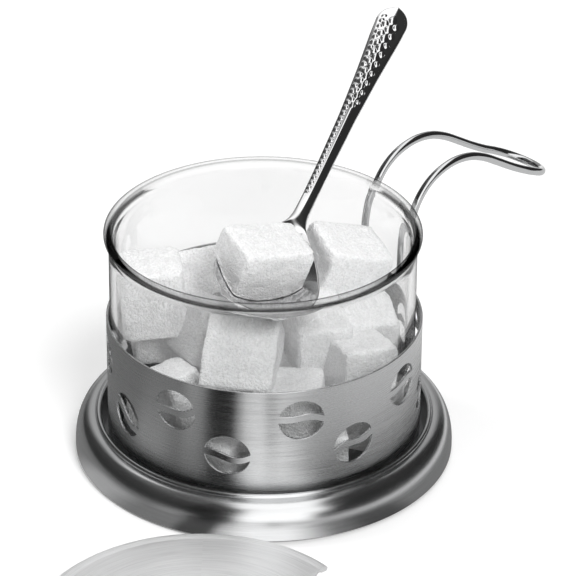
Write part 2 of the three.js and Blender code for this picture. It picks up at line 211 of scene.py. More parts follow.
def sweep(path, radius, sides, cap_rings=6):
    """A round rod along path, with domed ends."""
    along = np.gradient(path, axis=0)
    along /= np.linalg.norm(along, axis=1)[:, None]
    side = np.cross(along[0], [0.3, 0.2, 1.0] if abs(along[0][2]) < 0.9 else [1.0, 0.2, 0.0])
    side /= np.linalg.norm(side)
    frames = []
    for point, tangent in zip(path, along):
        side = side - tangent * (side @ tangent)
        side /= np.linalg.norm(side)
        frames.append((point, side.copy(), np.cross(tangent, side), tangent))

    def cap(frame, direction):
        """Shrinking rings beyond one end, from the rod outward."""
        point, side, over, tangent = frame
        turns = [rad(90 * k / (cap_rings + 0.35)) for k in range(1, cap_rings + 1)]
        return [(point + tangent * (direction * radius * math.sin(turn)), side, over,
                 radius * math.cos(turn)) for turn in turns]

    stations = cap(frames[0], -1)[::-1]
    stations += [(point, side, over, radius) for point, side, over, _ in frames]
    stations += cap(frames[-1], 1)
    verts, faces = [], []
    for point, side, over, size in stations:
        for k in range(sides):
            turn = 2 * math.pi * k / sides
            verts.append(tuple(point + side * size * math.cos(turn)
                               + over * size * math.sin(turn)))
    rings = [range(i * sides, (i + 1) * sides) for i in range(len(stations))]
    for first, second in zip(rings[:-1], rings[1:]):
        faces += bridge(first, second)
    for frame, ring, direction in ((frames[0], rings[0], -1), (frames[-1], rings[-1], 1)):
        tip = len(verts)
        verts.append(tuple(frame[0] + frame[3] * radius * direction))
        faces += [(ring[k], ring[(k + 1) % sides], tip) for k in range(sides)]
    return verts, faces


# ------------------------------------------------------------------ shader node helpers
class Graph:
    """The node tree of a material or world. Values may be numbers, tuples or sockets."""

    def __init__(self, owner, output="ShaderNodeOutputMaterial"):
        owner.use_nodes = True
        self.owner = owner
        self.tree = owner.node_tree
        self.tree.nodes.clear()
        self.output = self.tree.nodes.new(output)

    def finish(self, shader):
        self.put(self.output.inputs["Surface"], shader)
        return self.owner

    def put(self, socket, value):
        if isinstance(value, bpy.types.NodeSocket):
            self.tree.links.new(value, socket)
        else:
            socket.default_value = value

    def node(self, kind, inputs=None, **settings):
        new = self.tree.nodes.new(kind)
        for key, value in settings.items():
            setattr(new, key, value)
        for key, value in (inputs or {}).items():
            self.put(new.inputs[key], value)
        return new

    def shader(self, kind, inputs):
        return self.node(kind, inputs).outputs[0]

    def math(self, operation, first, second=0.0, third=None):
        inputs = {0: first, 1: second}
        if third is not None:
            inputs[2] = third
        return self.node("ShaderNodeMath", inputs, operation=operation).outputs[0]

    def plus(self, first, second):
        return self.math("ADD", first, second)

    def minus(self, first, second):
        return self.math("SUBTRACT", first, second)

    def times(self, first, second):
        return self.math("MULTIPLY", first, second)

    def hypot(self, x, y):
        return self.math("SQRT", self.plus(self.times(x, x), self.times(y, y)))

    def xyz(self, x, y, z):
        return self.node("ShaderNodeCombineXYZ", {0: x, 1: y, 2: z}).outputs[0]

    def grey(self, value):
        return self.xyz(value, value, value)

    def split(self, vector):
        return self.node("ShaderNodeSeparateXYZ", {0: vector}).outputs

    def scale(self, vector, factor):
        return self.node("ShaderNodeVectorMath", {0: vector, "Scale": factor},
                         operation="SCALE").outputs[0]

    def position(self):
        """Object-space position in millimetres."""
        return self.scale(self.node("ShaderNodeTexCoord").outputs["Object"], 1000.0)

    def noise(self, vector, scale, detail, rough):
        inputs = {"Vector": vector, "Scale": scale, "Detail": detail, "Roughness": rough}
        return self.node("ShaderNodeTexNoise", inputs, noise_dimensions="3D").outputs["Fac"]

    def voronoi(self, vector, scale, output="Distance"):
        inputs = {"Vector": vector, "Scale": scale}
        return self.node("ShaderNodeTexVoronoi", inputs, feature="F1").outputs[output]

    def span(self, value, source, target, smooth=False):
        """Maps the source range (start, end) to the target range."""
        inputs = {"Value": value, "From Min": source[0], "From Max": source[1],
                  "To Min": target[0], "To Max": target[1]}
        kind = "SMOOTHSTEP" if smooth else "LINEAR"
        return self.node("ShaderNodeMapRange", inputs, interpolation_type=kind).outputs["Result"]

    def fade(self, value, start, end):
        """Goes softly from 0 at start to 1 at end."""
        return self.span(value, (start, end), (0, 1), smooth=True)

    def mix_colour(self, factor, first, second):
        inputs = {0: factor, 6: first, 7: second}
        return self.node("ShaderNodeMix", inputs, data_type="RGBA").outputs[2]

    def mix_float(self, factor, first, second):
        inputs = {0: factor, 2: first, 3: second}
        return self.node("ShaderNodeMix", inputs, data_type="FLOAT").outputs[0]

    def mix_shader(self, factor, first, second):
        return self.shader("ShaderNodeMixShader", {0: factor, 1: first, 2: second})

    def bump(self, height, strength, distance):
        inputs = {"Height": height, "Strength": strength, "Distance": distance}
        return self.node("ShaderNodeBump", inputs).outputs[0]

    def cards(self, azimuth, left, right, items):
        """Brightness round the studio at one height: a wall going evenly from `left` to `right`,
        with soft-edged light boxes and black cards in front. Each item is (direction in degrees
        from +X, half width, soft edge, brightness)."""
        value = self.span(self.math("COSINE", azimuth), (-1, 1), (left, right), smooth=True)
        for direction, half, soft, brightness in items:
            offset = self.math("WRAP", self.minus(azimuth, rad(direction)), math.pi, -math.pi)
            cover = self.fade(self.math("ABSOLUTE", offset),
                              rad(half + soft / 2), rad(half - soft / 2))
            value = self.mix_float(cover, value, brightness)
        return value


# ------------------------------------------------------------------ steel
# Three layers of noise, fine to broad. Lines: (scale round the axis, scale across the lines,
# shift, detail, roughness). Plain: (scale, detail, roughness).
WRAP_LINES = ((0.10, 5.0, 0.0, 3.0, 0.6), (0.045, 1.5, 3.1, 2.0, 0.5), (0.02, 0.25, 9.0, 1.0, 0.5))
TURNED_LINES = ((3.0, 4.5, 0.0, 3.0, 0.6), (1.6, 1.4, 2.0, 2.0, 0.5), (0.8, 0.3, 5.0, 1.0, 0.5))
PLAIN_LAYERS = ((2.6, 4.0, 0.65), (0.5, 3.0, 0.6), (0.09, 2.0, 0.5))
LAYER_SHARES = (0.55, 0.3, 0.15)        # weight of the fine, middle and broad layer
BRUSH_RADIUS = 41.0                     # turns an angle into a length round the band


def steel_layers(mat, kind, centre):
    """The three noise layers of a finish."""
    position = mat.position()
    if kind == "plain":
        return [mat.noise(position, *layer) for layer in PLAIN_LAYERS]
    x, y, z = mat.split(position)
    x = mat.minus(x, centre[0])
    y = mat.minus(y, centre[1])
    around = mat.math("ARCTAN2", x, mat.times(y, -1.0))       # its seam is at the back
    if kind == "wrap":
        around = mat.times(around, BRUSH_RADIUS)
        across, lines = z, WRAP_LINES
    else:
        across, lines = mat.plus(mat.hypot(x, y), mat.times(z, 0.8)), TURNED_LINES
    return [mat.noise(mat.xyz(mat.times(around, around_scale), mat.times(across, scale), shift),
                      scale=1.0, detail=detail, rough=rough)
            for around_scale, scale, shift, detail, rough in lines]


def steel(name, kind, base, rough, rough_var, streak, bump, metal=1.0, aniso=0.0, centre=(0, 0)):
    """Stainless steel. kind 'wrap': brushed round a vertical cylinder; 'turned': fine circles
    about centre; 'plain': no direction. streak and rough_var are the spread of brightness and
    roughness."""
    mat = Graph(bpy.data.materials.new(name))
    fine, middle, broad = steel_layers(mat, kind, centre)
    blend = mat.plus(mat.times(fine, LAYER_SHARES[0]),
                     mat.plus(mat.times(middle, LAYER_SHARES[1]),
                              mat.times(broad, LAYER_SHARES[2])))
    shade = mat.span(blend, (0.3, 0.7), (1.0 - streak, 1.0 + streak))
    inputs = {
        "Base Color": mat.scale(base, shade),
        "Metallic": metal,
        "Roughness": mat.span(blend, (0.3, 0.7), (max(rough - rough_var, 0.01), rough + rough_var)),
        "Normal": mat.bump(fine, strength=bump, distance=0.0001),
    }
    if aniso:
        inputs["Anisotropic"] = aniso
        inputs["Anisotropic Rotation"] = 0.25
        inputs["Tangent"] = mat.node("ShaderNodeTangent", direction_type="RADIAL",
                                     axis="Z").outputs[0]
    return mat.finish(mat.shader("ShaderNodeBsdfPrincipled", inputs))


BAND_STEEL = steel("brushed_band_steel", "wrap", base=(0.68, 0.685, 0.69), rough=0.27,
                   rough_var=0.08, streak=0.20, bump=0.05, aniso=0.96)
FOOT_STEEL = steel("satin_foot_steel", "turned", base=(0.72, 0.725, 0.73), rough=0.21,
                   rough_var=0.05, streak=0.09, bump=0.03, aniso=0.65)
PLATE_STEEL = steel("satin_plate_steel", "turned", base=(0.5, 0.505, 0.51), rough=0.45,
                    rough_var=0.08, streak=0.1, bump=0.05, aniso=0.4)
WIRE_STEEL = steel("polished_wire_steel", "plain", base=(0.64, 0.645, 0.65), rough=0.09,
                   rough_var=0.04, streak=0.05, bump=0.02)
SPOON_STEEL = steel("polished_spoon_steel", "plain", base=(0.80, 0.80, 0.805), rough=0.07,
                    rough_var=0.03, streak=0.03, bump=0.015)
LID_STEEL = steel("brushed_lid_steel", "turned", base=(0.95, 0.952, 0.955), rough=0.44,
                  rough_var=0.07, streak=0.14, bump=0.05, metal=0.74, aniso=0.5,
                  centre=LID_CENTRE)
RING_STEEL = steel("satin_ring_steel", "turned", base=(0.66, 0.665, 0.67), rough=0.36,
                   rough_var=0.06, streak=0.1, bump=0.04, aniso=0.4, centre=LID_CENTRE)
KNOB_STEEL = steel("polished_knob_steel", "turned", base=(0.78, 0.785, 0.79), rough=0.10,
                   rough_var=0.04, streak=0.04, bump=0.02, centre=LID_CENTRE)
WELD_STEEL = steel("weld_steel", "plain", base=(0.52, 0.5, 0.48), rough=0.36,
                   rough_var=0.12, streak=0.25, bump=0.4)


# ------------------------------------------------------------------ glass and sugar
def glass_material():
    mat = Graph(bpy.data.materials.new("clear_table_glass"))
    position = mat.position()
    x, y, z = mat.split(position)
    facing = mat.node("ShaderNodeLayerWeight", {"Blend": 0.5}).outputs["Facing"]

    # clear glass with painted shade where it is seen edge-on, standing in for dark surroundings
    # seen in it; the rim darkens sooner than the wall
    wall = mat.span(facing, (0.74, 1.0), (0.945, 0.40), smooth=True)
    rim = mat.span(facing, (0.05, 0.65), (0.97, 0.52), smooth=True)
    # painted edge shade: the wall's and the rim's, blended near the top
    edge_shade = mat.mix_float(mat.fade(z, GLASS_TOP - 2.6, GLASS_TOP - 1.6), wall, rim)
    smudge = mat.noise(position, scale=0.07, detail=3.0, rough=0.6)
    waves = mat.noise(mat.xyz(mat.times(x, 0.05), mat.times(y, 0.05), mat.times(z, 0.02)),
                      scale=1.0, detail=1.0, rough=0.4)
    glass = mat.shader("ShaderNodeBsdfGlass", {
        "IOR": 1.47,
        "Color": mat.grey(edge_shade),
        "Roughness": mat.span(smudge, (0.45, 0.8), (0.0, 0.035)),
        "Normal": mat.bump(waves, strength=0.25, distance=0.0008),
    })

    # the thick rounded rim: see-through in the middle with thin painted dark outlines, painted
    # shade where it is seen edge-on
    line = mat.span(facing, (0.40, 0.92), (1.0, 0.24), smooth=True)
    radius = mat.hypot(mat.minus(x, GLASS_CENTRE[0]), mat.minus(y, GLASS_CENTRE[1]))
    from_inner = mat.math("ABSOLUTE", mat.minus(radius, GLASS_RADIUS - 1.95))
    line = mat.times(line, mat.span(from_inner, (0.0, 0.34), (0.45, 1.0), smooth=True))
    outline = mat.shader("ShaderNodeBsdfTransparent", {"Color": mat.grey(line)})
    near_top = mat.span(z, (GLASS_TOP - 2.8, GLASS_TOP - 1.8), (0, 0.80), smooth=True)
    seen = mat.mix_shader(near_top, glass, outline)

    # shadow and diffuse rays pass straight through
    clear = mat.shader("ShaderNodeBsdfTransparent", {"Color": (0.95, 0.955, 0.955, 1)})
    rays = mat.node("ShaderNodeLightPath").outputs
    passing = mat.math("MAXIMUM", rays["Is Shadow Ray"], rays["Is Diffuse Ray"])
    return mat.finish(mat.mix_shader(passing, seen, clear))


def sugar_material():
    mat = Graph(bpy.data.materials.new("sugar_crystal"))
    position = mat.position()
    grain = mat.voronoi(position, scale=1.55)
    fine_grain = mat.voronoi(position, scale=3.4)
    cell = mat.voronoi(position, scale=2.2, output="Color")
    clump = mat.noise(position, scale=0.35, detail=4.0, rough=0.6)
    crystal = mat.node("ShaderNodeRGBToBW", {0: cell}).outputs[0]     # one value per crystal
    tone = mat.plus(mat.span(clump, (0.3, 0.7), (0.85, 0.92)),
                    mat.span(crystal, (0.2, 0.9), (-0.09, 0.07)))
    tone = mat.times(tone, 1.0)                                       # overall brightness
    colour = mat.xyz(tone, tone, mat.times(tone, 1.005))
    height = mat.plus(mat.times(grain, -0.6),
                      mat.plus(mat.times(fine_grain, -0.35), mat.times(clump, 0.5)))
    return mat.finish(mat.shader("ShaderNodeBsdfPrincipled", {
        "Base Color": colour,
        "Subsurface Weight": 0.35,
        "Subsurface Radius": (1.0, 1.0, 1.0),
        "Subsurface Scale": 0.0016,
        # some crystal faces are smoother and glint
        "Roughness": mat.span(crystal, (0.2, 0.8), (0.75, 0.25)),
        "IOR": 1.5,
        "Specular IOR Level": 0.45,
        # painted glow standing in for light carried through the translucent crystals; it also lifts
        # the shaded sides
        "Emission Color": colour,
        "Emission Strength": 0.06,
        "Normal": mat.bump(height, strength=0.8, distance=0.0006),
    }))


GLASS = glass_material()
SUGAR = sugar_material()


# ------------------------------------------------------------------ foot ring and base plate
FOOT_WALL = 0.8
DOME_CENTRE = 45.0              # radius at which the dome's quarter curve ends
DOME_WIDTH = 5.0
DOME_BOTTOM = 1.9
DOME_HEIGHT = FOOT_TOP - 0.6 - DOME_BOTTOM

# (radius, z)
PLATE_PROFILE = [
    (0, 0.35), (38.0, 0.35), (38.6, 0.0), (48.3, 0.0), (48.75, 0.14), (48.9, 0.45),
    (48.75, 0.78), (48.3, 0.9), (40.2, 0.9), (39.6, 0.72), (0, 0.72)]


def dome_curve(width, height):
    """A quarter of a slightly squared ellipse, from the outside up to the top."""
    turns = [rad(90 * i / 32) for i in range(33)]
    return [(DOME_CENTRE + width * math.cos(turn) ** 0.9,
             DOME_BOTTOM + height * math.sin(turn) ** 0.9) for turn in turns]


def build_foot():
    outer = dome_curve(DOME_WIDTH, DOME_HEIGHT)
    inner = dome_curve(DOME_WIDTH - FOOT_WALL, DOME_HEIGHT - FOOT_WALL)
    profile = [(49.65, 0.65), (49.85, 0.72), (49.97, 0.86), (50.0, 1.05)] + outer
    profile += lift(FOOT_TOP, [(44.85, -0.62), (44.7, -0.68), (44.55, -0.62)])   # fine groove
    profile += arc((43.82, FOOT_TOP - 0.68), 0.70, 12, 168, 12)                  # inner bead
    profile += [(43.1, FOOT_TOP - 0.9), (43.1, 1.0), (43.9, 1.0), (43.9, FOOT_TOP - 1.25)]
    profile += inner[::-1] + [(49.1, 0.65)]
    foot = make("foot_ring_dome", revolve(profile, 240, closed=True), FOOT_STEEL, sharp=40)
    register(foot, "holder", "foot_ring")


def build_base_plate():
    plate = make("base_plate_disc", revolve(PLATE_PROFILE, 200), PLATE_STEEL, sharp=40)
    register(plate, "holder", "base_plate")


build_foot()
build_base_plate()

# ------------------------------------------------------------------ perforated band
BAND_WALL = 0.6
BAND_INNER = BAND_RADIUS - BAND_WALL
BAND_LENGTH = 2 * math.pi * BAND_RADIUS     # round the outside
BAND_SEAM = 96.3                # azimuth of the butt joint, at the back between two cut-outs
BAND_EDGE = BAND_TOP - 0.15     # where the rounding of the top edge starts
BAND_COLUMNS, BAND_ROWS = 300, 15
HOLE_RIM = 0.09                 # width of a cut-out's softened edge on the sheet
HOLE_CLEAR = 0.35               # sheet grid points keep this far from a rim

# Each cut-out is an oval with a curved bridge across it, leaving an upper and a lower opening.
OVAL_HALF_LENGTH, OVAL_HALF_HEIGHT, BRIDGE_WIDTH = 6.0, 5.5, 1.9
# (azimuth, z, tilt in degrees, bow of the bridge, S-bend of the bridge)
CUT_OUTS = [
    (-149.0, 20.6, -25, -0.5, -0.5), (-122.8, 30.3, 12, -0.9, -0.4),
    (-102.6, 20.4, -3, -1.0, -0.5), (-76.1, 30.8, -5, 0.6, 0.4),
    (-55.6, 20.7, 14, 0.2, -0.6), (-29.8, 29.9, 2, 0.5, 0.4),
    (-8.0, 20.5, 16, -0.4, -0.5), (16.0, 30.4, -14, 0.8, 0.4),
    (41.0, 20.6, 0, 0.5, 0.5), (64.0, 30.6, 18, -0.7, -0.4),
    (85.5, 20.4, -12, 0.6, 0.5), (107.0, 30.2, 6, -0.9, -0.4),
    (128.5, 20.7, 20, 0.3, -0.5), (149.5, 30.5, -8, 0.7, 0.4),
    (169.5, 20.5, 4, -0.8, -0.4), (-170.0, 31.0, -16, 0.5, 0.4),
]


def opening(side, bow, sway, steps=22):
    """Counter-clockwise outline of the upper (side 1) or lower (side -1) opening."""
    def oval(u):
        return OVAL_HALF_HEIGHT * math.sqrt(max(0.0, 1 - (u / OVAL_HALF_LENGTH) ** 2))

    def edge(u):
        middle = (bow * (1 - (u / OVAL_HALF_LENGTH) ** 2)
                  + sway * math.sin(math.pi * u / OVAL_HALF_LENGTH))
        return middle + side * BRIDGE_WIDTH / 2

    def gap(u):
        return side * (side * oval(u) - edge(u))

    start, end = -OVAL_HALF_LENGTH, OVAL_HALF_LENGTH
    while gap(start) < 0.12:
        start += 0.02
    while gap(end) < 0.12:
        end -= 0.02
    stations = [start + (end - start) * (0.5 - 0.5 * math.cos(math.pi * i / steps))
                for i in range(steps + 1)]
    points = [(u, edge(u)) for u in stations] + [(u, side * oval(u)) for u in reversed(stations)]
    return points if side > 0 else points[::-1]


def sheet_openings():
    """All openings on the unrolled sheet, as (length from the seam, z)."""
    outlines = []
    for azimuth, z, tilt, bow, sway in CUT_OUTS:
        cos, sin = math.cos(rad(tilt)), math.sin(rad(tilt))
        along = ((azimuth - BAND_SEAM) % 360.0) / 360.0 * BAND_LENGTH
        for side in (1, -1):
            outlines.append([(along + u * cos - w * sin, z + u * sin + w * cos)
                             for u, w in opening(side, bow, sway)])
    return outlines


def loop_offset(outline, distance):
    """Moves a counter-clockwise outline outward."""
    points = np.array(outline)
    edges = np.roll(points, -1, 0) - points
    lengths = np.linalg.norm(edges, axis=1)[:, None]
    normals = np.stack([edges[:, 1], -edges[:, 0]], 1) / np.maximum(lengths, 1e-9)
    mitre = normals + np.roll(normals, 1, 0)
    mitre /= np.maximum(np.linalg.norm(mitre, axis=1)[:, None], 0.35)
    return points + mitre * distance


def inside(outline, points):
    """Which of the points lie inside the outline."""
    x, y = points[:, 0], points[:, 1]
    result = np.zeros(len(points), bool)
    for i in range(len(outline)):
        x1, y1 = outline[i]
        x2, y2 = outline[(i + 1) % len(outline)]
        if y1 == y2:
            continue
        result ^= ((y1 > y) != (y2 > y)) & (x < (x2 - x1) * (y - y1) / (y2 - y1) + x1)
    return result


def outside_all(outlines, points):
    keep = np.ones(len(points), bool)
    for outline in outlines:
        keep &= ~inside(outline, points)
    return keep


def triangulate_sheet(rims):
    """Triangles of the unrolled sheet: places, triangles, and each rim's vertex numbers."""
    columns = [BAND_LENGTH * i / BAND_COLUMNS for i in range(BAND_COLUMNS + 1)]
    grid = np.array([(along, z) for z in np.linspace(BAND_BOTTOM, BAND_EDGE, BAND_ROWS)
                     for along in columns])
    clear = outside_all([loop_offset(rim, HOLE_CLEAR) for rim in rims], grid)
    points = [Vector(place) for place in grid[clear]]
    edges, loops = [], []
    for rim in rims:
        start = len(points)
        points += [Vector((float(along), float(z))) for along, z in rim]
        loop = list(range(start, len(points)))
        loops.append(loop)
        edges += zip(loop, loop[1:] + loop[:1])
    result = delaunay_2d_cdt(points, edges, [], 0, 1e-5)
    places = np.array([(place.x, place.y) for place in result[0]])
    triangles = np.array([face for face in result[2] if len(face) == 3])
    triangles = triangles[outside_all(rims, places[triangles].mean(1))]
    where = {source: k for k, sources in enumerate(result[3]) for source in sources}
    return places, triangles, [[where[k] for k in loop] for loop in loops]


def close_seam(places):
    """Merges the last column with the first: new vertex numbers, and the places they have."""
    numbers, index = {}, []
    for along, z in places:
        wrapped = round((along % BAND_LENGTH) if abs(along - BAND_LENGTH) > 1e-4 else 0.0, 4)
        if wrapped > BAND_LENGTH - 1e-3:
            wrapped = 0.0
        index.append(numbers.setdefault((wrapped, round(z, 4)), len(numbers)))
    flat = [None] * len(numbers)
    for number, (along, z) in zip(index, places):
        flat[number] = (along, z)
    return np.array(index), flat


def roll_up(along, z, radius):
    turn = rad(BAND_SEAM) + along / BAND_LENGTH * 2 * math.pi
    return (radius * math.cos(turn), radius * math.sin(turn), z)


def set_cylinder_normals(mesh, facing):
    """Exact cylinder normals on the two sheet faces; facing is 1 outside, -1 inside, 0 edges."""
    places = np.zeros(len(mesh.vertices) * 3)
    mesh.vertices.foreach_get("co", places)
    places = places.reshape(-1, 3)
    normals = []
    for face in mesh.polygons:
        direction = facing[face.index]
        for number in face.vertices:
            if direction:
                normal = places[number].copy()
                normal[2] = 0
                normal /= np.linalg.norm(normal)
                normals.append(tuple(normal * direction))
            else:
                normals.append((0.0, 0.0, 0.0))
    mesh.normals_split_custom_set(normals)


def build_band():
    openings = sheet_openings()
    places, triangles, loops = triangulate_sheet([loop_offset(o, HOLE_RIM) for o in openings])
    index, flat = close_seam(places)
    inner = len(flat)               # inner vertices follow the outer ones
    verts = [roll_up(along, z, radius) for radius in (BAND_RADIUS, BAND_INNER)
             for along, z in flat]
    faces, facing = [], []
    for triangle in triangles:
        a, b, c = index[triangle]
        if a == b or b == c or a == c:
            continue
        faces += [(a, b, c), (a + inner, c + inner, b + inner)]
        facing += [1, -1]

    def add_rings(outer_ring, middle):
        """New rings of vertices, between an outer ring and the inner one behind it."""
        rings = [outer_ring]
        for ring in middle:
            start = len(verts)
            verts.extend(ring)
            rings.append(list(range(start, len(verts))))
        rings.append([k + inner for k in outer_ring])
        return [quad for pair in zip(rings[:-1], rings[1:]) for quad in bridge(*pair)]

    # walls of the cut-outs, with softened edges
    for outline, loop in zip(openings, loops):
        soft = loop_offset(outline, 0.03)
        middle = [[roll_up(along, z, radius) for along, z in points] for points, radius in (
            (soft, BAND_RADIUS - 0.04), (outline, BAND_RADIUS - 0.12),
            (outline, BAND_INNER + 0.12), (soft, BAND_INNER + 0.04))]
        quads = add_rings([int(index[k]) for k in loop], middle)
        faces += [(a, d, c, b) for a, b, c, d in quads]

    # rounded top edge and plain bottom edge
    def edge_ring(height):
        return [k for _, k in sorted((along, k) for k, (along, z) in enumerate(flat)
                                     if abs(z - height) < 1e-3)]

    top_ring = edge_ring(BAND_EDGE)
    middle = [[roll_up(flat[k][0], z, radius) for k in top_ring] for radius, z in (
        (BAND_RADIUS - 0.05, BAND_TOP - 0.05), (BAND_RADIUS - 0.16, BAND_TOP),
        (BAND_INNER + 0.16, BAND_TOP), (BAND_INNER + 0.05, BAND_TOP - 0.05))]
    faces += add_rings(top_ring, middle)
    bottom_ring = edge_ring(BAND_BOTTOM)
    for a, b in zip(bottom_ring, bottom_ring[1:] + bottom_ring[:1]):
        faces.append((b, a, a + inner, b + inner))
    facing += [0] * (len(faces) - len(facing))

    band = make("band_sheet", (verts, faces), BAND_STEEL, sharp=30, fix=False)
    register(band, "holder", "perforated_band")
    set_cylinder_normals(band.data, facing)


build_band()

# ------------------------------------------------------------------ wire handle and its welds
HANDLE_AZIMUTH = 39.3
ROD_RADIUS = 1.1
ROD_OFFSET = 8.0                # each leg's distance from the handle's middle plane
WELD_HEIGHTS = (17.0, 34.5)
WELD_HALF = (0.55, 1.35, 2.0)   # half sizes outward, across and up
# (distance from the bowl's axis, z) of one leg, from the band up and out to the tip
LEG = [
    (41.65, 13.2), (41.65, 24), (41.65, 36), (41.7, 44), (41.95, 50), (43.2, 55.8),
    (45.0, 60.2), (47.3, 63.4), (50.4, 66.0), (54.4, 67.8), (58.8, 68.6), (63.7, 68.1),
    (68.5, 66.3), (73.4, 63.5), (78.6, 60.4), (83.5, 57.8), (87.0, 56.2)]


def handle_point(out, across, z):
    cos, sin = math.cos(rad(HANDLE_AZIMUTH)), math.sin(rad(HANDLE_AZIMUTH))
    return (out * cos - across * sin, out * sin + across * cos, z)


def build_handle():
    points = [handle_point(out, ROD_OFFSET, z) for out, z in LEG]
    tip_out, tip_z = LEG[-1]
    for degrees in (30, 60, 90, 120, 150):      # the bend that joins the two legs
        sin, cos = math.sin(rad(degrees)), math.cos(rad(degrees))
        points.append(handle_point(tip_out + 7.4 * sin, ROD_OFFSET * cos, tip_z - 3.4 * sin))
    points += [handle_point(out, -ROD_OFFSET, z) for out, z in reversed(LEG)]
    path = catmull(points, 420)
    path[0][2] += 0.6
    path[-1][2] += 0.6
    rod = make("handle_rod", sweep(path, ROD_RADIUS, sides=28), WIRE_STEEL)
    register(rod, "holder", "handle_wire")


def build_weld(name, z, across):
    """A small uneven blob between the rod and the band."""
    out = math.sqrt(BAND_RADIUS ** 2 - ROD_OFFSET ** 2) + 0.25
    columns, rows = 20, 12
    verts, faces = [], []
    for i in range(columns):
        turn = 2 * math.pi * i / columns
        for j in range(rows + 1):
            polar = math.pi * j / rows
            unit = (math.cos(turn) * math.sin(polar), math.sin(turn) * math.sin(polar),
                    math.cos(polar))
            spot = Vector((3 * unit[0] + across, 3 * unit[1], 3 * unit[2] + z))
            size = 1 + 0.10 * noise.noise(spot)
            verts.append(handle_point(out + WELD_HALF[0] * size * unit[0],
                                      across + WELD_HALF[1] * size * unit[1],
                                      z + WELD_HALF[2] * size * unit[2]))
    for i in range(columns):
        here, there = i * (rows + 1), (i + 1) % columns * (rows + 1)
        for j in range(rows):
            faces.append((here + j, there + j, there + j + 1, here + j + 1))
    weld = make(name, (verts, faces), WELD_STEEL)
    clean(weld.data, merge=1e-6)
    shade_smooth(weld.data)
    register(weld, "holder")


build_handle()
WELDS = [(z, across) for across in (ROD_OFFSET, -ROD_OFFSET) for z in WELD_HEIGHTS]
for number, (weld_z, weld_across) in enumerate(WELDS, 1):
    build_weld(f"rod_weld_{number}", weld_z, weld_across)

# ------------------------------------------------------------------ glass insert
GLASS_BASE = 1.0
BEAD_RADIUS = 1.1
# (radius, z over GLASS_BASE): underside with a hollow middle, and the rounded corner
GLASS_FOOT = [
    (0, 0.9), (20, 0.85), (29, 0.7), (31.2, 0.25), (32.5, 0.03), (34.0, 0), (35.5, 0.05),
    (37.0, 0.4), (38.2, 1.05), (39.1, 2.05), (39.65, 3.2), (39.9, 4.6)]
# (radius, z)
GLASS_OUTSIDE = [(39.9, 20.0), (39.9, 40.0), (39.9, 60.0), (39.92, 61.0)]
GLASS_INSIDE = [
    (38.75, 62.2), (38.45, 61.5), (38.25, 60.4), (38.12, 58.9), (38.1, 57.0), (38.1, 40.0),
    (38.1, 20.0), (38.1, 8.8), (37.9, 7.4), (37.3, 6.2), (36.4, 5.35), (35.2, 4.8),
    (33.4, 4.4), (31.0, 4.2), (20, 4.12), (0, 4.1)]


def build_glass():
    bead = arc((40.05, GLASS_TOP - BEAD_RADIUS), BEAD_RADIUS, -50, 185, 22)
    profile = lift(GLASS_BASE, GLASS_FOOT) + GLASS_OUTSIDE + bead + GLASS_INSIDE
    glass = make("glass_bowl", revolve(profile, 200, GLASS_CENTRE), GLASS)
    register(glass, "glass", "glass_insert")


build_glass()

# ------------------------------------------------------------------ spoon
# The spoon's frame has its origin at the neck: x runs along the handle (the bowl is at negative
# x), y to the left as the camera sees it, z upward.
NECK = np.array([7.96, 12.8, 58.56])
SPOON_AZIMUTH, SPOON_PITCH, SPOON_ROLL = rad(75.0), rad(2.3), rad(18.2)
SPOON_X = np.array([math.cos(SPOON_AZIMUTH) * math.cos(SPOON_PITCH),
                    math.sin(SPOON_AZIMUTH) * math.cos(SPOON_PITCH), math.sin(SPOON_PITCH)])
LEVEL_Y = np.array([-math.sin(SPOON_AZIMUTH), math.cos(SPOON_AZIMUTH), 0.0])
SPOON_Y = LEVEL_Y * math.cos(SPOON_ROLL) + np.cross(SPOON_X, LEVEL_Y) * math.sin(SPOON_ROLL)
SPOON_Z = np.cross(SPOON_X, SPOON_Y)

SPOON_TIP = -43.75              # x of the bowl's tip
TIP_ROUND = -40.0               # the outline is a rounded end in front of this x
END_ROUND = 68.5                # and again beyond this x
END_LENGTH = 5.0


def soften(rows):
    """A station table [(x, value)] as a dense, slightly smoothed curve."""
    xs = np.linspace(rows[0][0], rows[-1][0], 1200)
    values = np.interp(xs, [row[0] for row in rows], [row[1] for row in rows])
    window = np.hanning(41)
    window /= window.sum()
    padded = np.r_[2 * values[0] - values[20:0:-1], values, 2 * values[-1] - values[-2:-22:-1]]
    return xs, np.convolve(padded, window, "valid")


def lookup(curve, x):
    return float(np.interp(x, *curve))


# (x, half width)
HALF_WIDTH = soften([
    (-43.75, .6), (-43.3, 3.6), (-41.85, 6.9), (-39, 10.1), (-35.2, 12.5), (-30.4, 13.75),
    (-26.6, 13.85), (-22.8, 13.2), (-17.1, 11.2), (-11.4, 8.8), (-7.6, 6.9), (-4.75, 5.25),
    (-1.9, 3.8), (1, 2.6), (5, 2.05), (12, 1.9), (22, 1.95), (38, 2.3), (52, 3.1), (64, 4.1),
    (69.5, 4.35), (72.5, 3.6), (73.5, 1.2)])
# (x, depth of the bowl)
DEPTH = soften([
    (-43.75, .1), (-41.85, 1.65), (-38, 3.75), (-31.4, 5.95), (-23.8, 6.65), (-14.3, 5.4),
    (-7.6, 3.3), (-2.9, 1.4), (1, .1), (73.5, 0)])
# (x, height of the handle's middle over its edges)
CROWN = soften([(-3, 0), (3, .6), (20, 1.0), (60, 1.25), (73.5, .4)])
# (x, thickness of the metal)
THICKNESS = soften([
    (-43.75, .9), (-6, 1.1), (0, 1.9), (6, 1.9), (18, 1.45), (40, 1.45), (60, 1.5), (73.5, 1.1)])

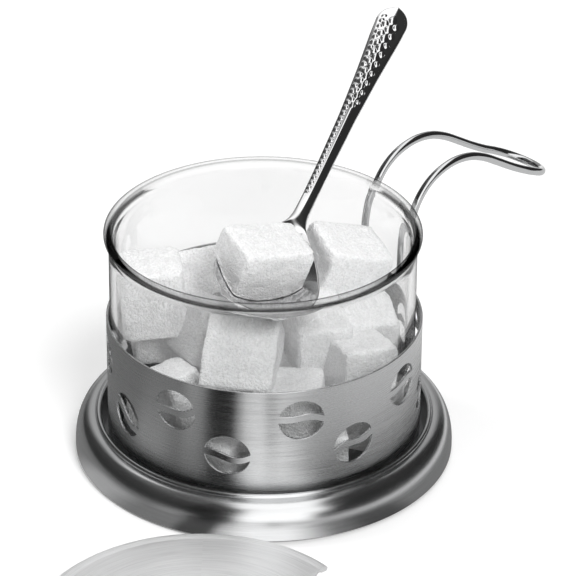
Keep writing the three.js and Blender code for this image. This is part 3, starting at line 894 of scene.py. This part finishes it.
# Ornament: a line of small beads near the left edge, and rows of bosses on the broad end
BEAD_START, BEAD_END, BEAD_PITCH, BEAD_SIZE = 12.0, 70.0, 1.75, 0.62
BOSS_START, BOSS_END, BOSS_PITCH = 41.0, 70.0, 3.1
BOSS_ROWS = ((0.0, 1.25, 0.0), (1.55, 1.0, 0.36), (1.55, 0.9, -0.40))   # (shift, size, y / half)


def spoon_point(x, y, z):
    return NECK + SPOON_X * x + SPOON_Y * y + SPOON_Z * z


def spoon_half(x):
    """Half width of the plan outline, rounded at the bowl's tip and at the handle's end."""
    if x < TIP_ROUND:
        t = (x - SPOON_TIP) / (TIP_ROUND - SPOON_TIP)
        return max(0.35, 9.3 * math.sqrt(max(0.0, 1 - (1 - t) ** 2)) ** 0.92)
    if x > END_ROUND:
        t = (x - END_ROUND) / END_LENGTH
        return max(0.3, 4.33 * math.sqrt(max(0.0, 1 - t * t)))
    return lookup(HALF_WIDTH, x)


def relief(x, y, half):
    """Height of the ornament at a place on the handle."""
    height = 0.0
    if BEAD_START < x < BEAD_END:
        bead_x = BEAD_START + round((x - BEAD_START) / BEAD_PITCH) * BEAD_PITCH
        off = ((x - bead_x) ** 2 + (y - half * 0.64) ** 2) / BEAD_SIZE ** 2
        if off < 1:
            height = max(height, 0.34 * math.sqrt(1 - off))
    if 40.0 < x < 71.0:
        for shift, full_size, side in BOSS_ROWS:
            nearest = round((x - BOSS_START - shift) / BOSS_PITCH)
            for k in (nearest - 1, nearest, nearest + 1):
                boss_x = BOSS_START + shift + k * BOSS_PITCH
                if boss_x < BOSS_START or boss_x > BOSS_END:
                    continue
                size = full_size * min(1.0, half / 3.6)
                off = ((x - boss_x) / size) ** 2 + ((y - side * half) / (size * 0.85)) ** 2
                if off < 1:
                    height = max(height, 0.48 * math.sqrt(1 - off))
    return height


def spoon_stations():
    quarter = math.pi / 2
    stations = [*(SPOON_TIP + 3.7 * (1 - np.cos(np.linspace(0, quarter, 20)))),
                *np.linspace(-39.6, 4, 84),
                *np.linspace(4.6, 68.2, 330),
                *(END_ROUND + END_LENGTH * np.sin(np.linspace(0, quarter, 26)))]
    return sorted(set(round(float(x), 5) for x in stations))


def spoon_section(x, across):
    """Upper and lower points of the section at x; across runs from -1 to 1."""
    half = spoon_half(x)
    depth, crown, thick = lookup(DEPTH, x), lookup(CROWN, x), lookup(THICKNESS, x)
    # the handle leaves the neck nearly level and bends up to a steady climb
    edge = 0.0 if x <= 0 else 0.479 * x - 0.441 * 12 * (1 - math.exp(-x / 12))
    roof = min(max((x - 2.0) / 10.0, 0.0), 1.0)     # a domed section turns into a ridged one
    upper_row, lower_row = [], []
    for v in across:
        dome = 1 - v * v
        ridge = 1 - math.sqrt(v * v + 0.012) * 0.97
        raised = crown * (dome * (1 - roof) + ridge * roof)
        z = edge - depth * dome + raised
        slope = 2 * depth * abs(v) / max(half, 1)
        wall = thick * math.sqrt(1 + slope * slope)
        rim = 1 - abs(v) ** 10                      # softened edges all round
        lower = z - raised - wall + 0.45 * wall * (1 - rim)
        upper = z - 0.12 * wall * (1 - rim)
        if x > 10:
            upper += relief(x, v * half, half) * min(1.0, (1 - abs(v)) * 6)
        upper_row.append(tuple(spoon_point(x, v * half, upper)))
        lower_row.append(tuple(spoon_point(x, v * half, lower)))
    return upper_row, lower_row


def build_spoon():
    steps = 44
    evenly = [2 * j / steps - 1 for j in range(steps + 1)]
    across = [math.sin(math.pi / 2 * v) * 0.35 + v * 0.65 for v in evenly]
    sections = [spoon_section(x, across) for x in spoon_stations()]
    verts = [point for side in (0, 1) for section in sections for point in section[side]]
    rows, columns = len(sections), steps + 1
    under = rows * columns          # lower vertices follow the upper ones
    faces = []
    for i in range(rows - 1):
        for j in range(columns - 1):
            a, b = i * columns + j, (i + 1) * columns + j
            faces.append((a, b, b + 1, a + 1))
            faces.append((under + a, under + a + 1, under + b + 1, under + b))

    # a half-way line round the edge keeps the edge rounded
    halfway = {}

    def midpoint(k, push):
        if k not in halfway:
            halfway[k] = len(verts)
            verts.append(tuple((np.array(verts[k]) + np.array(verts[under + k])) / 2 + push))
        return halfway[k]

    def close_edge(a, b, push):
        first, second = midpoint(a, push), midpoint(b, push)
        faces.append((a, first, second, b))
        faces.append((first, under + a, under + b, second))

    for i in range(rows - 1):
        for j, sign in ((0, -1), (columns - 1, 1)):
            close_edge(i * columns + j, (i + 1) * columns + j, SPOON_Y * sign * 0.14)
    for j in range(columns - 1):
        for i, sign in ((0, -1), (rows - 1, 1)):
            close_edge(i * columns + j, i * columns + j + 1, SPOON_X * sign * 0.12)
    spoon = make("sugar_spoon", (verts, faces), SPOON_STEEL)
    register(spoon, "spoon", "spoon")


build_spoon()

# ------------------------------------------------------------------ lid
NOTCH_AZIMUTH, NOTCH_HALF, NOTCH_RADIUS = 33.0, 5.5, 34.6   # radius: the notch's inner end
LID_UNDER = LID_TOP - 0.8
RING_TOP = LID_UNDER - 0.05
KNOB_BASE = LID_TOP + 0.03
SCREW_TOP = LID_UNDER - 0.03    # where the screw's head meets the sheet

# (radius, z over LID_UNDER), then (radius, z over LID_TOP)
LID_LOWER = [
    (2.15, 0), (38.6, 0), (38.75, -0.3), (38.9, -0.6), (39.3, -0.66), (40.3, -0.66),
    (40.62, -0.58), (40.84, -0.38), (40.96, -0.05)]
LID_UPPER = [
    (41.0, -0.62), (40.94, -0.35), (40.78, -0.15), (40.5, -0.04), (40.1, 0), (38.6, 0),
    (38.35, -0.05), (38.1, 0), (20.0, 0), (7.0, 0), (2.35, 0), (2.15, -0.15)]
# (radius, z), then (radius, z over RING_TOP)
RING_LOWER = [
    (36.6, 0.25), (36.68, 0.08), (36.85, 0.0), (37.05, 0.0), (37.22, 0.08), (37.3, 0.25)]
RING_UPPER = [
    (37.3, -0.12), (37.3, 0), (34.4, 0), (34.4, -0.6), (36.3, -0.6), (36.5, -0.7), (36.6, -0.95)]
# (radius, z over KNOB_BASE), from the top of the bore down and round the outside
KNOB_PROFILE = [
    (0, 5.6), (1.95, 5.6), (1.95, 0), (4.0, 0), (4.18, 0.05), (4.3, 0.25), (4.28, 0.6),
    (3.95, 1.05), (3.5, 1.5), (3.2, 2.2), (3.1, 3.0), (3.22, 3.9), (3.6, 4.6), (4.3, 5.3),
    (5.2, 6.0), (5.95, 6.55), (6.5, 7.2), (6.74, 7.8), (6.8, 8.4), (6.68, 9.1), (6.3, 9.7),
    (5.6, 10.35), (4.6, 10.9), (3.7, 11.25), (2.6, 11.45), (1.3, 11.5), (0, 11.5)]
# (radius, z over SCREW_TOP)
SCREW_HEAD = [
    (0, -1.9), (1.4, -1.86), (2.6, -1.7), (3.2, -1.35), (3.5, -0.9), (3.62, -0.4), (3.6, 0),
    (1.9, 0)]
SCREW_END = [(1.88, 4.9), (1.6, 5.2), (0, 5.4)]     # (radius, z over KNOB_BASE)
THREAD_PITCH = 0.5
SLOT_HALF_WIDTH, SLOT_HALF_LENGTH = 0.5, 4.6


def notch_cutter(inner_end, bottom, top):
    """A round-ended slot, from inner_end out past the lid's edge."""
    outline = []
    for i in range(25):
        turn = math.pi / 2 + math.pi * i / 24
        outline.append((inner_end + NOTCH_HALF + NOTCH_HALF * math.cos(turn),
                        NOTCH_HALF * math.sin(turn)))
    outline += [(46.0, -NOTCH_HALF), (46.0, NOTCH_HALF)]
    cos, sin = math.cos(rad(NOTCH_AZIMUTH)), math.sin(rad(NOTCH_AZIMUTH))
    turned = [(LID_CENTRE[0] + x * cos - y * sin, LID_CENTRE[1] + x * sin + y * cos)
              for x, y in outline]
    return make("cutter", prism(turned, bottom, top), smooth=False)


def slot_cutter():
    corners = [(LID_CENTRE[0] + x * SLOT_HALF_WIDTH, LID_CENTRE[1] + y * SLOT_HALF_LENGTH)
               for x, y in ((-1, -1), (1, -1), (1, 1), (-1, 1))]
    return make("cutter", prism(corners, SCREW_TOP - 2.8, SCREW_TOP - 1.1), smooth=False)


def cut(obj, tool):
    """Subtracts tool from obj for good, and removes tool."""
    modifier = obj.modifiers.new("cut", "BOOLEAN")
    modifier.operation = "DIFFERENCE"
    modifier.solver = "EXACT"
    modifier.object = tool
    depsgraph = bpy.context.evaluated_depsgraph_get()
    mesh = bpy.data.meshes.new_from_object(obj.evaluated_get(depsgraph))
    obj.modifiers.clear()
    uncut, tool_mesh = obj.data, tool.data
    obj.data = mesh
    mesh.name = obj.name
    bpy.data.meshes.remove(uncut)
    bpy.data.objects.remove(tool)
    bpy.data.meshes.remove(tool_mesh)
    shade_smooth(mesh, sharp=40)


def build_lid_sheet():
    profile = lift(LID_UNDER, LID_LOWER) + lift(LID_TOP, LID_UPPER)
    sheet = make("lid_sheet", revolve(profile, 240, LID_CENTRE, closed=True), LID_STEEL, sharp=40)
    cut(sheet, notch_cutter(NOTCH_RADIUS, LID_TOP - 5, LID_TOP + 3))
    register(sheet, "lid", "lid_plate")


def build_lid_ring():
    profile = RING_LOWER + lift(RING_TOP, RING_UPPER)
    ring = make("lid_ring", revolve(profile, 200, LID_CENTRE, closed=True), RING_STEEL, sharp=40)
    cut(ring, notch_cutter(NOTCH_RADIUS - 2.6, -3, RING_TOP + 3))
    register(ring, "lid", "lid_locating_ring")


def build_knob():
    profile = lift(KNOB_BASE, KNOB_PROFILE)
    knob = make("lid_knob_turned", revolve(profile, 96, LID_CENTRE), KNOB_STEEL, sharp=50)
    register(knob, "lid", "lid_knob")


def build_screw():
    profile = lift(SCREW_TOP, SCREW_HEAD)
    for k in range(11):
        crest = SCREW_TOP + 0.25 + k * THREAD_PITCH
        profile += [(1.88, crest), (1.62, crest + THREAD_PITCH / 2)]
    profile += lift(KNOB_BASE, SCREW_END)
    screw = make("lid_screw_slotted", revolve(profile, 64, LID_CENTRE), RING_STEEL, sharp=40)
    cut(screw, slot_cutter())
    register(screw, "lid", "lid_knob_screw")


build_lid_sheet()
build_lid_ring()
build_knob()
build_screw()

# ------------------------------------------------------------------ sugar lumps
LUMP_ROUNDING = 0.75

# centre, rotation vector, size; lump A lies in the spoon
LUMPS = {
    "A": ([-1.2, -9.1, 58.3], [0.166, 0.30, 0.551], [21.5, 14.6, 17.0]),
    "B": ([20.8, 13.9, 47.2], [0.14, 0.35, 0.45], [19, 16.4, 14.0]),
    "C": ([-29.2, -1.2, 45.4], [0.02, -0.03, 0.14], [16.0, 15.6, 19]),
    "D": ([-15.6, 4.8, 45.2], [-1.02, -0.20, -0.17], [15.5, 12, 15.5]),
    "E": ([-5.5, -21.1, 38.0], [-0.80, 0.09, -0.14], [18.5, 14, 20.6]),
    "F": ([-14.4, -5.3, 38.2], [-0.12, 0.30, 0.59], [14, 16, 17.3]),
    "G": ([24.0, -13.5, 31.0], [-0.09, 0.07, 0.44], [14.7, 15.2, 16.5]),
    "K": ([13.1, -5.2, 36.6], [0.16, 0.03, 0.31], [14.6, 18.5, 15.2]),
    "J": ([27.0, 2.7, 33.0], [0.16, 0.02, 0.16], [14.2, 14.5, 15]),
    "H": ([-21.3, -19.5, 26.2], [-0.19, -0.24, 0.47], [9.4, 14.7, 15.1]),
    "I": ([8.6, -25.4, 26.1], [-0.03, -0.03, -0.05], [13.6, 16, 16]),
}
# The lower lumps, all of one size: (x, y, z, turn about the vertical in radians)
LOW_SIZE = (17.5, 15, 14.5)
LOW_LUMPS = (
    (-24, -8, 13, 0.3), (-9, -26, 13, 0.9), (12, -24, 13, 0.2), (27, -6, 13, 1.1),
    (22, 16, 13, 0.5), (3, 27, 13, 0.1), (-17, 20, 13, 0.8), (-5, -5, 13, 0.4), (8, 6, 14, 1.2),
    (-27, 9, 30, 0.2), (-6, 24, 31, 0.7), (14, 22, 31, 0.3), (-8, 6, 29, 0.5))


def rotation_matrix(vector):
    """Rotation about the vector, by its length in radians."""
    vector = np.array(vector, float)
    turn = np.linalg.norm(vector)
    x, y, z = vector / turn
    cross = np.array([[0, -z, y], [z, 0, -x], [-y, x, 0]])
    return np.eye(3) + math.sin(turn) * cross + (1 - math.cos(turn)) * cross @ cross


def unit_box(steps):
    """A box from -1 to 1 with a grid on each side, finer towards the edges."""
    index, faces = {}, []
    grid = np.linspace(-1, 1, steps + 1)
    grid = np.sin(grid * math.pi / 2) * 0.25 + grid * 0.75
    for axis in range(3):
        for sign in (-1, 1):
            ids = []
            for first in grid:
                row = []
                for second in grid:
                    point = [0, 0, 0]
                    point[axis] = sign
                    point[(axis + 1) % 3] = first
                    point[(axis + 2) % 3] = second
                    key = tuple(round(value, 5) for value in point)
                    row.append(index.setdefault(key, len(index)))
                ids.append(row)
            for i in range(steps):
                for j in range(steps):
                    quad = (ids[i][j], ids[i + 1][j], ids[i + 1][j + 1], ids[i][j + 1])
                    faces.append(quad if sign > 0 else quad[::-1])
    return list(index), faces


def worn(point, half, shift):
    """A unit box point on the lump: rounded, crumbled at edges and corners, and granular."""
    place = np.array(point) * half
    core = np.clip(place, -(half - LUMP_ROUNDING), half - LUMP_ROUNDING)
    outward = place - core
    length = np.linalg.norm(outward)
    normal = outward / length if length > 1e-9 else np.zeros(3)
    place = core + normal * LUMP_ROUNDING
    corner, edge, _ = np.sort(np.abs(np.array(point)))      # each nears 1 at a corner or edge
    spot = Vector(place) + shift
    broad = noise.noise(spot * 0.10) * 0.35
    middle = noise.noise(spot * 0.42) * 0.16
    fine = noise.noise(spot * 1.25) * 0.13 + noise.noise(spot * 2.4) * 0.07
    edge_chips = max(0.0, noise.noise(spot * 0.33 + Vector((7, 3, 1))))
    corner_chips = max(0.0, noise.noise(spot * 0.2 + Vector((1, 9, 4))))
    loss = max(0.0, edge - 0.80) / 0.20 * (0.18 + 0.55 * edge_chips)
    loss += max(0.0, corner - 0.72) / 0.28 * (0.5 + 0.9 * corner_chips)
    return place + normal * (broad + middle + fine - loss)


def rest_on_spoon(place):
    """Raises a point that would sink into the spoon's bowl to its surface."""
    offset = place - NECK
    x, y, z = float(offset @ SPOON_X), float(offset @ SPOON_Y), float(offset @ SPOON_Z)
    if -46.0 < x < -2:
        half = spoon_half(max(x, -43.7))
        surface = -lookup(DEPTH, x) * max(0.0, 1 - (y / half) ** 2) + 0.25
        if z < surface:
            return spoon_point(x, y, surface)
    return place


def build_lump(name, centre, rotation, size, seed, body="glass", steps=30):
    matrix = rotation_matrix(rotation)
    half = np.array(size, float) / 2
    shift = Vector((seed * 17.3, seed * 5.1, seed * 9.7))
    points, faces = unit_box(steps)
    verts = []
    for point in points:
        place = np.array(centre) + matrix @ worn(point, half, shift)
        if body == "spoon":
            place = rest_on_spoon(place)
        verts.append(tuple(place))
    register(make(name, (verts, faces), SUGAR, fix=False), body)


for lump_seed, (letter, (lump_centre, lump_turn, lump_size)) in enumerate(LUMPS.items(), 1):
    build_lump(f"sugar_lump_{letter}", lump_centre, lump_turn, lump_size, lump_seed,
               body="spoon" if letter == "A" else "glass")
for i, (x, y, z, upright_turn) in enumerate(LOW_LUMPS):
    tilt = (0.05 * math.sin(3 * i), 0.06 * math.cos(2 * i), upright_turn)
    build_lump(f"sugar_lump_low_{i + 1}", (x, y, z), tilt, LOW_SIZE, 40 + i, steps=14)

# ------------------------------------------------------------------ floor
FLOOR_RADIUS, FLOOR_Z, FLOOR_SIDES = 3000, -0.02, 96

# Cards: (direction in degrees from +X, half width, soft edge, brightness)
BACK_TABLE_PAINTED_LIGHT = (92, 22, 30, 1.1)      # painted light: the table under the light box at the back, as the metal mirrors it
BLACK_CARD = (-121, 13, 6, 0.02)        # a narrow black card left of the front light box
# the near and far cards are a painted reflection on the table: light boxes and black cards that
# only the metal sees
NEAR_PAINTED_CARDS = [BACK_TABLE_PAINTED_LIGHT, (-88, 14, 20, 1.2), (-112, 6, 5, 0.08), (-154, 12, 16, 0.45),
              (-50, 10, 12, 0.09)]
FAR_PAINTED_CARDS = [BACK_TABLE_PAINTED_LIGHT, (-95, 6, 4, 0.70), (-85, 3, 5, 0.28), (-114, 9, 5, 0.02),
             (-132, 5, 8, 0.4)]


def floor_material():
    mat = Graph(bpy.data.materials.new("pale_floor"))
    position = mat.position()
    x, y, _ = mat.split(position)
    rays = mat.node("ShaderNodeLightPath").outputs

    # a pale mottled table with a little glow of its own, weaker for diffuse rays
    mottled = mat.noise(position, scale=0.01, detail=2.0, rough=0.5)
    tone = mat.span(mottled, (0.3, 0.7), (0.885, 0.915))
    diffuse = mat.shader("ShaderNodeBsdfDiffuse", {"Color": mat.grey(tone)})
    glow = mat.shader("ShaderNodeEmission", {
        "Color": (1, 1, 1, 1),
        "Strength": mat.span(rays["Is Diffuse Ray"], (0, 1), (0.19, 0.05)),
    })
    seen = mat.shader("ShaderNodeAddShader", {0: diffuse, 1: glow})

    # painted reflection: light boxes and black cards painted on the table, seen only by glossy rays
    # from the metal, close to the foot and further out
    azimuth = mat.math("ARCTAN2", y, x)
    near = mat.cards(azimuth, left=0.22, right=0.22, items=NEAR_PAINTED_CARDS)
    far = mat.cards(azimuth, left=0.20, right=0.75, items=FAR_PAINTED_CARDS)
    pattern = mat.mix_colour(mat.fade(mat.hypot(x, y), 66, 84), near, far)
    painted_reflection = mat.shader("ShaderNodeEmission", {"Color": pattern, "Strength": 1.0})
    in_metal = mat.times(rays["Is Glossy Ray"], mat.minus(1.0, rays["Is Transmission Ray"]))
    return mat.finish(mat.mix_shader(in_metal, seen, painted_reflection))


def build_floor():
    turns = [2 * math.pi * k / FLOOR_SIDES for k in range(FLOOR_SIDES)]
    verts = [(0, 0, FLOOR_Z)] + [(FLOOR_RADIUS * math.cos(turn), FLOOR_RADIUS * math.sin(turn),
                                  FLOOR_Z) for turn in turns]
    faces = [(0, 1 + k, 1 + (k + 1) % FLOOR_SIDES) for k in range(FLOOR_SIDES)]
    make("studio_floor", (verts, faces), floor_material(), smooth=False, fix=False)


build_floor()

# the lid lies over the cards painted on the table as the foot's reflection, so the bowl mirrors the
# painted cards instead
for item in bpy.data.objects:
    if item.type == "MESH" and item.name.startswith("lid_"):
        item.visible_glossy = False

# ------------------------------------------------------------------ studio surroundings
# Low, middle and high band of the studio: (left wall, right wall, cards). Each has a light box
# at the back, a brighter one at the front behind the camera, and the black card.
STUDIO_BANDS = (
    (0.035, 0.03, [(88, 24, 28, 0.35), (-83, 22, 14, 1.5), BLACK_CARD]),
    (0.05, 0.03, [(94, 24, 26, 0.45), (-76, 26, 13, 1.4), BLACK_CARD]),
    (0.12, 0.04, [(100, 32, 16, 1.1), (-74, 26, 22, 1.3), BLACK_CARD]),
)


def build_world():
    world = bpy.data.worlds.new("studio")
    bpy.context.scene.world = world
    sky = Graph(world, "ShaderNodeOutputWorld")
    x, y, z = sky.split(sky.node("ShaderNodeTexCoord").outputs["Generated"])
    azimuth = sky.math("ARCTAN2", y, x)
    clamped = sky.math("MINIMUM", sky.math("MAXIMUM", z, -1.0), 1.0)
    elevation = sky.times(sky.math("ARCSINE", clamped), 180 / math.pi)

    low, middle, high = [sky.cards(azimuth, *band) for band in STUDIO_BANDS]
    pattern = sky.mix_colour(sky.fade(elevation, 12, 30), low, middle)
    pattern = sky.mix_colour(sky.fade(elevation, 38, 54), pattern, high)
    pattern = sky.mix_colour(sky.fade(elevation, 62, 74), pattern, (0.14, 0.14, 0.14, 1))

    # a long soft box overhead, running from front to back, wider towards the camera
    left_edge = sky.plus(sky.times(y, 0.12), -0.15)
    right_edge = sky.plus(sky.times(y, -0.26), 0.30)
    in_left = sky.fade(sky.minus(x, left_edge), -0.07, 0.07)
    in_right = sky.fade(sky.minus(right_edge, x), -0.06, 0.06)
    strip = sky.times(sky.times(in_left, in_right), sky.fade(elevation, 44, 60))
    pattern = sky.mix_colour(strip, pattern, (1.4, 1.4, 1.4, 1))

    # the glass sees it half whitened; diffuse rays get a dim even light, the camera plain white
    rays = sky.node("ShaderNodeLightPath").outputs
    whitening = sky.times(rays["Is Transmission Ray"], 0.5)
    pattern = sky.mix_colour(whitening, pattern, (1, 1, 1, 1))
    studio = sky.shader("ShaderNodeBackground", {"Color": pattern})
    dim, white = [sky.shader("ShaderNodeBackground", {"Color": (1, 1, 1, 1), "Strength": power})
                  for power in (0.12, 1.0)]
    specular = sky.math("MAXIMUM", rays["Is Glossy Ray"], rays["Is Transmission Ray"])
    lighting = sky.mix_shader(specular, dim, studio)
    sky.finish(sky.mix_shader(rays["Is Camera Ray"], lighting, white))
    world.cycles.sampling_method = "NONE"


build_world()

# ------------------------------------------------------------------ lights
LIGHT_TARGET = Vector((0, 0, 0.03))
# (name, place, diameter, watts), in metres
LIGHTS = (
    ("key_overhead", (0.10, 0.26, 1.15), 0.7, 4.9),
    ("left_back", (-0.75, 0.25, 0.7), 0.5, 3.7),
    ("front_fill", (0.42, -0.82, 0.84), 0.6, 11.6),
)


def build_light(name, place, diameter, watts):
    """A disk light, seen by diffuse surfaces only."""
    data = bpy.data.lights.new(name, "AREA")
    data.shape = "DISK"
    data.size = diameter
    data.energy = watts
    light = bpy.data.objects.new(name, data)
    bpy.context.scene.collection.objects.link(light)
    light.location = place
    direction = LIGHT_TARGET - Vector(place)
    light.rotation_euler = direction.to_track_quat("-Z", "Y").to_euler()
    light.visible_glossy = False
    light.visible_camera = False
    light.visible_transmission = False


for light_row in LIGHTS:
    build_light(*light_row)

# ------------------------------------------------------------------ camera
CAMERA_PLACE = (0.006076, -0.76596, 0.4743)     # metres
CAMERA_PITCH, CAMERA_ROLL = rad(29.18), rad(-0.5)     # looking down; roll about the view axis
CAMERA_LENS, CAMERA_SENSOR = 210.96875, 36.0


def build_camera():
    cos, sin = math.cos(CAMERA_PITCH), math.sin(CAMERA_PITCH)
    roll_cos, roll_sin = math.cos(CAMERA_ROLL), math.sin(CAMERA_ROLL)
    right = (roll_cos, -sin * roll_sin, -cos * roll_sin)
    up = (roll_sin, sin * roll_cos, cos * roll_cos)
    back = (0, -cos, sin)
    data = bpy.data.cameras.new("camera")
    camera = bpy.data.objects.new("camera", data)
    bpy.context.scene.collection.objects.link(camera)
    rows = list(zip(right, up, back, CAMERA_PLACE))
    camera.matrix_world = Matrix((*rows, (0, 0, 0, 1)))
    data.sensor_width = CAMERA_SENSOR
    data.lens = CAMERA_LENS
    data.clip_start = 0.02
    data.clip_end = 20
    bpy.context.scene.camera = camera


build_camera()

# ------------------------------------------------------------------ render settings
view = bpy.context.scene.view_settings
view.view_transform = "Standard"
view.look = "None"
view.exposure = 0.0
view.gamma = 1.0

cycles = bpy.context.scene.cycles
cycles.use_denoising = True
cycles.max_bounces = 16
cycles.transmission_bounces = 14
cycles.glossy_bounces = 6
cycles.diffuse_bounces = 4
cycles.transparent_max_bounces = 16
cycles.caustics_reflective = False
cycles.caustics_refractive = False
cycles.sample_clamp_indirect = 6.0
